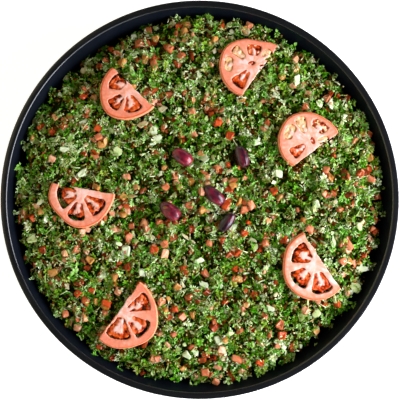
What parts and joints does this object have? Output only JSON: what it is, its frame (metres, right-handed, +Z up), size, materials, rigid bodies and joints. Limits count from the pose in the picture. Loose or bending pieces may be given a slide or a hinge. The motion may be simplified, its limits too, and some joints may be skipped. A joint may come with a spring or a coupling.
{
  "type": "tabbouleh salad on a round serving tray",
  "caption": "Herb salad of chopped parsley, bulgur, tomato and onion, heaped in a round black tray and dressed with tomato half slices and olives.",
  "frame": {"origin": "middle of the tray's flat underside", "axes": "+Z up out of the tray, +X to the right and +Y away from a person who looks down on it"},
  "size_m": [0.406, 0.406, 0.0681],
  "materials": {
    "black_plastic": "satin",
    "chopped_parsley": "moist chopped herbs",
    "tomato_flesh": "moist",
    "olive_skin": "oiled"
  },
  "bodies": {
    "root": {"tray": "black_plastic", "salad_heap": "chopped_parsley", "tomato_slice_1": "tomato_flesh", "tomato_slice_2": "tomato_flesh", "tomato_slice_3": "tomato_flesh", "tomato_slice_4": "tomato_flesh", "tomato_slice_5": "tomato_flesh", "tomato_slice_6": "tomato_flesh", "olive_1": "olive_skin", "olive_2": "olive_skin", "olive_3": "olive_skin", "olive_4": "olive_skin", "olive_5": "olive_skin"}
  },
  "joints": []
}
